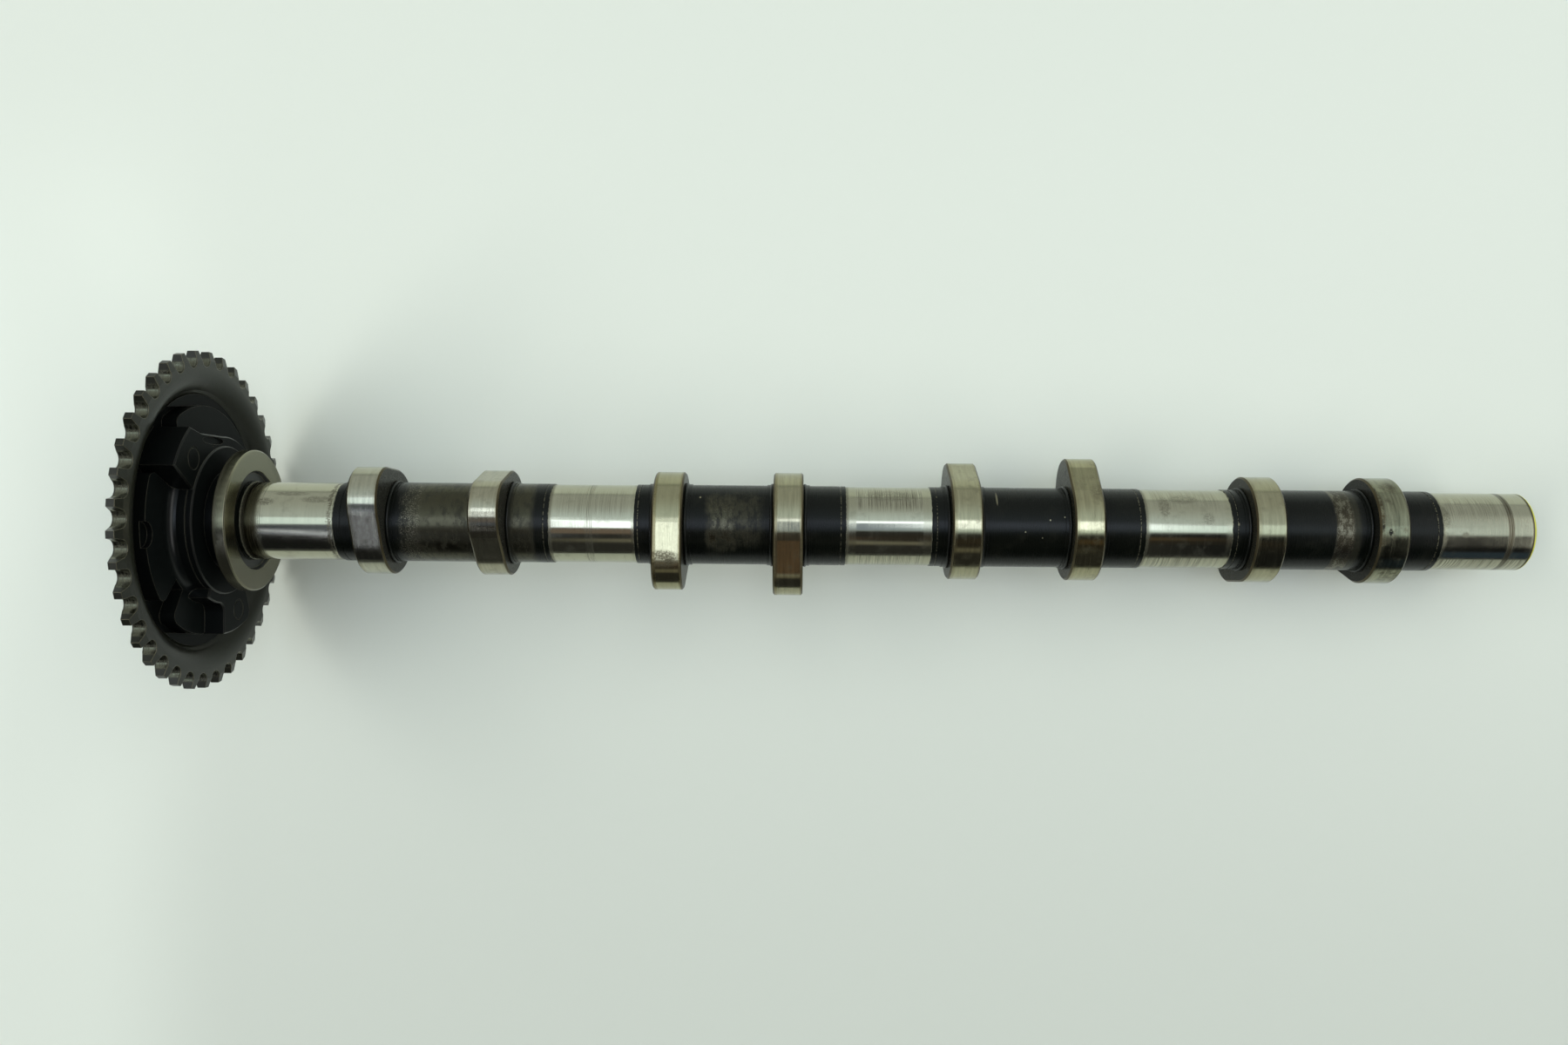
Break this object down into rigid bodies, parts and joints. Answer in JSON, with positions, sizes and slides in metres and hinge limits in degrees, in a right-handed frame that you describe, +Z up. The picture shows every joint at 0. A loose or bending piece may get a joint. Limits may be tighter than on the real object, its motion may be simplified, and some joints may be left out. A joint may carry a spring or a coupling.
{
  "type": "camshaft",
  "caption": "Assembled engine camshaft: a ground steel tube with pressed-on cam lobes in pairs, bearing journals, a thrust ring and a toothed chain sprocket on a dark hub.",
  "frame": {"origin": "on the shaft axis, in the middle plane of the sprocket teeth", "axes": "+X along the shaft from the sprocket to the free end, +Z up as the shaft lies, +Y to the far side"},
  "size_m": [0.4042, 0.1012, 0.1012],
  "materials": {
    "shaft_steel": "black oxide tube, satin, with bright ground journals",
    "lobe_steel": "ground rim with wear lines, dark grey sides",
    "ground_ring": "fine ground",
    "sprocket_steel": "heat-treated brown grey, tooth gaps worn bright",
    "blued_hub": "blue black, satin"
  },
  "bodies": {
    "root": {"camshaft_tube": "shaft_steel", "thrust_ring": "ground_ring", "sprocket_ring": "sprocket_steel", "sprocket_hub": "blued_hub", "cam_lobe_1": "lobe_steel", "cam_lobe_2": "lobe_steel", "cam_lobe_3": "lobe_steel", "cam_lobe_4": "lobe_steel", "cam_lobe_5": "lobe_steel", "cam_lobe_6": "lobe_steel", "cam_lobe_7": "lobe_steel", "cam_lobe_8": "lobe_steel"}
  },
  "joints": []
}
